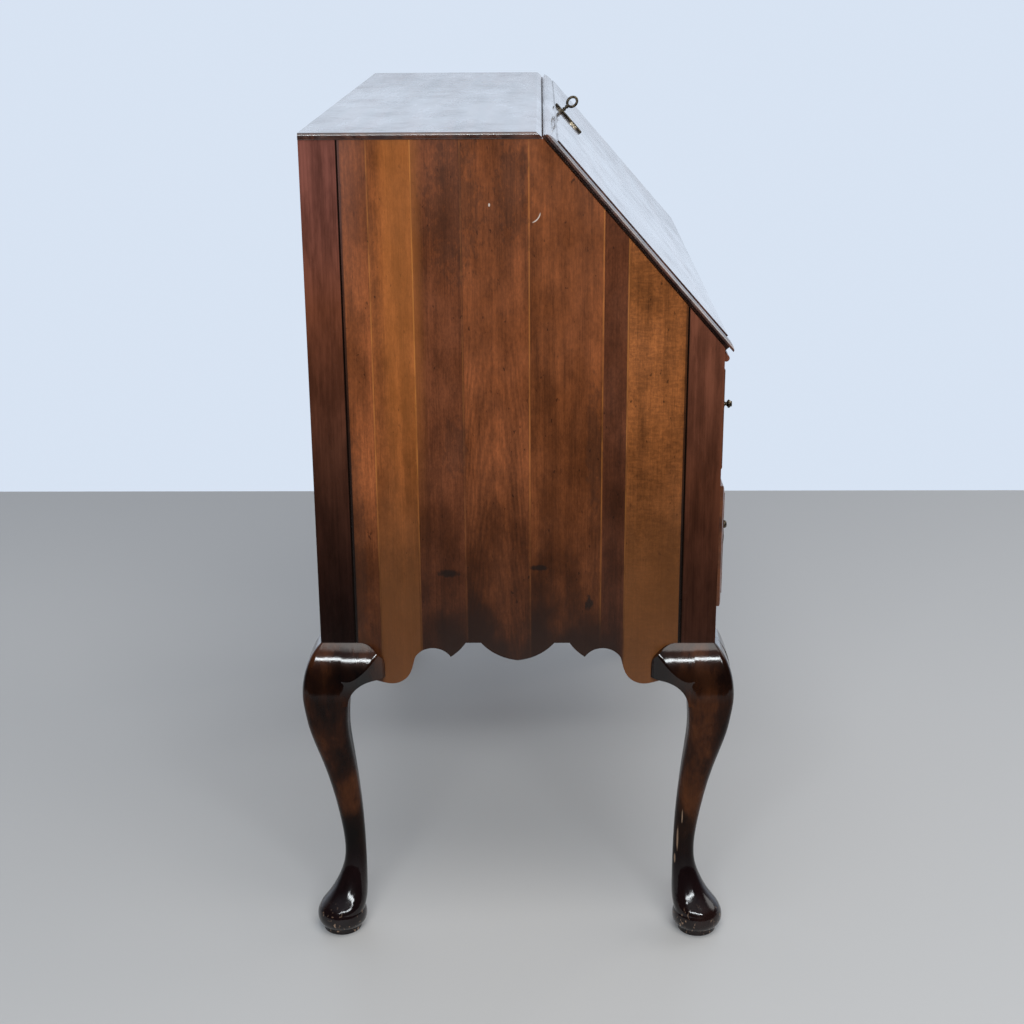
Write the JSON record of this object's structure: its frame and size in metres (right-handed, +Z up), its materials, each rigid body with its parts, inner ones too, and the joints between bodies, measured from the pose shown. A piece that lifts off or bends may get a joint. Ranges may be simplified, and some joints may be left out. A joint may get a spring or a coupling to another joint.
{
  "type": "secretary desk",
  "caption": "Slant-front secretary desk on cabriole legs, with a fall-front lid on pull-out supports, two drawers and a fitted interior.",
  "frame": {"origin": "on the floor under the middle of the desk's bounding box", "axes": "+Z up; the front, with the lid and the drawers, faces -Y; +X to the right of someone who stands in front and faces the desk"},
  "size_m": [0.9212, 0.5022, 0.9654],
  "materials": {
    "dark_wood": "dark red-brown polish, worn and glossy",
    "case_wood": "red-brown polish, glossy",
    "lid_wood": "red-brown polish, glossy",
    "writing_wood": "satin polish",
    "interior_wood": "satin polish",
    "carcase_wood": "bare, darkened with age",
    "brass": "aged, dull"
  },
  "bodies": {
    "case": {"side_panel_left": "case_wood", "side_panel_right": "case_wood", "leg_front_left": "dark_wood", "leg_front_right": "dark_wood", "leg_rear_left": "dark_wood", "leg_rear_right": "dark_wood", "knee_blocks_left": "dark_wood", "knee_blocks_right": "dark_wood", "knee_blocks_front": "dark_wood", "top_board": "case_wood", "writing_board": "writing_wood", "writing_bead": "dark_wood", "front_apron": "dark_wood", "rear_rail": "carcase_wood", "back_panel": "carcase_wood", "middle_rail": "dark_wood", "upper_runners": "carcase_wood", "lower_runners": "carcase_wood", "loper_dividers": "carcase_wood", "gallery_shelf": "interior_wood", "gallery_partitions": "interior_wood", "pigeonhole_dividers": "interior_wood", "pigeonhole_valances": "interior_wood", "strike_plate": "brass", "hinge_case_leaves": "brass", "hinge_pins": "brass"},
    "lid": {"lid_panel": "lid_wood", "hinge_lid_leaves": "brass", "lock_case": "brass", "key_escutcheon": "brass"},
    "key": {"lid_key": "brass"},
    "bolt": {"lock_bolt": "brass"},
    "loper_left": {"loper_left": "dark_wood", "loper_knob_left": "brass"},
    "loper_right": {"loper_right": "dark_wood", "loper_knob_right": "brass"},
    "upper_drawer": {"upper_drawer_front": "case_wood", "upper_drawer_sides": "carcase_wood", "upper_drawer_back": "carcase_wood", "upper_drawer_bottom": "carcase_wood", "upper_pull_posts": "brass"},
    "lower_drawer": {"lower_drawer_front": "case_wood", "lower_drawer_sides": "carcase_wood", "lower_drawer_back": "carcase_wood", "lower_drawer_bottom": "carcase_wood", "lower_pull_posts": "brass"},
    "upper_bail_left": {"upper_bail_left": "brass"},
    "upper_bail_right": {"upper_bail_right": "brass"},
    "lower_bail_left": {"lower_bail_left": "brass"},
    "lower_bail_right": {"lower_bail_right": "brass"},
    "small_drawer_1": {"small_drawer_1_front": "interior_wood", "small_drawer_1_box": "interior_wood", "small_drawer_1_knob": "brass"},
    "small_drawer_2": {"small_drawer_2_front": "interior_wood", "small_drawer_2_box": "interior_wood", "small_drawer_2_knob": "brass"},
    "small_drawer_3": {"small_drawer_3_front": "interior_wood", "small_drawer_3_box": "interior_wood", "small_drawer_3_knob": "brass"}
  },
  "joints": [
    {"name": "lid_fall", "type": "hinge", "parent": "case", "child": "lid", "pos_m": [0, -0.2298, 0.7214], "axis": [1, 0, 0], "range_deg": [0, 131.4]},
    {"name": "key_turn", "type": "hinge", "parent": "lid", "child": "key", "pos_m": [0, -0.0543, 0.94522], "axis": [0, -0.7501, 0.6613], "range_deg": [0, 90]},
    {"name": "bolt_throw", "type": "slide", "parent": "lid", "child": "bolt", "axis": [0, 0.6613, 0.7501], "range_m": [0, 0.008]},
    {"name": "loper_left_pull", "type": "slide", "parent": "case", "child": "loper_left", "axis": [0, -1, 0], "range_m": [0, 0.3]},
    {"name": "loper_right_pull", "type": "slide", "parent": "case", "child": "loper_right", "axis": [0, -1, 0], "range_m": [0, 0.3]},
    {"name": "upper_drawer_slide", "type": "slide", "parent": "case", "child": "upper_drawer", "axis": [0, -1, 0], "range_m": [0, 0.235]},
    {"name": "lower_drawer_slide", "type": "slide", "parent": "case", "child": "lower_drawer", "axis": [0, -1, 0], "range_m": [0, 0.3]},
    {"name": "upper_bail_left_swing", "type": "hinge", "parent": "upper_drawer", "child": "upper_bail_left", "pos_m": [-0.148, -0.2443, 0.648], "axis": [-1, 0, 0], "range_deg": [0, 85]},
    {"name": "upper_bail_right_swing", "type": "hinge", "parent": "upper_drawer", "child": "upper_bail_right", "pos_m": [0.148, -0.2443, 0.648], "axis": [-1, 0, 0], "range_deg": [0, 85]},
    {"name": "lower_bail_left_swing", "type": "hinge", "parent": "lower_drawer", "child": "lower_bail_left", "pos_m": [-0.303, -0.2443, 0.495], "axis": [-1, 0, 0], "range_deg": [0, 85]},
    {"name": "lower_bail_right_swing", "type": "hinge", "parent": "lower_drawer", "child": "lower_bail_right", "pos_m": [0.303, -0.2443, 0.495], "axis": [-1, 0, 0], "range_deg": [0, 85]},
    {"name": "small_drawer_1_slide", "type": "slide", "parent": "case", "child": "small_drawer_1", "axis": [0, -1, 0], "range_m": [0, 0.14]},
    {"name": "small_drawer_2_slide", "type": "slide", "parent": "case", "child": "small_drawer_2", "axis": [0, -1, 0], "range_m": [0, 0.14]},
    {"name": "small_drawer_3_slide", "type": "slide", "parent": "case", "child": "small_drawer_3", "axis": [0, -1, 0], "range_m": [0, 0.14]}
  ],
  "couplings": [
    {"joint": "key_turn", "follows": "bolt_throw", "rad_per_m": 196.35}
  ]
}
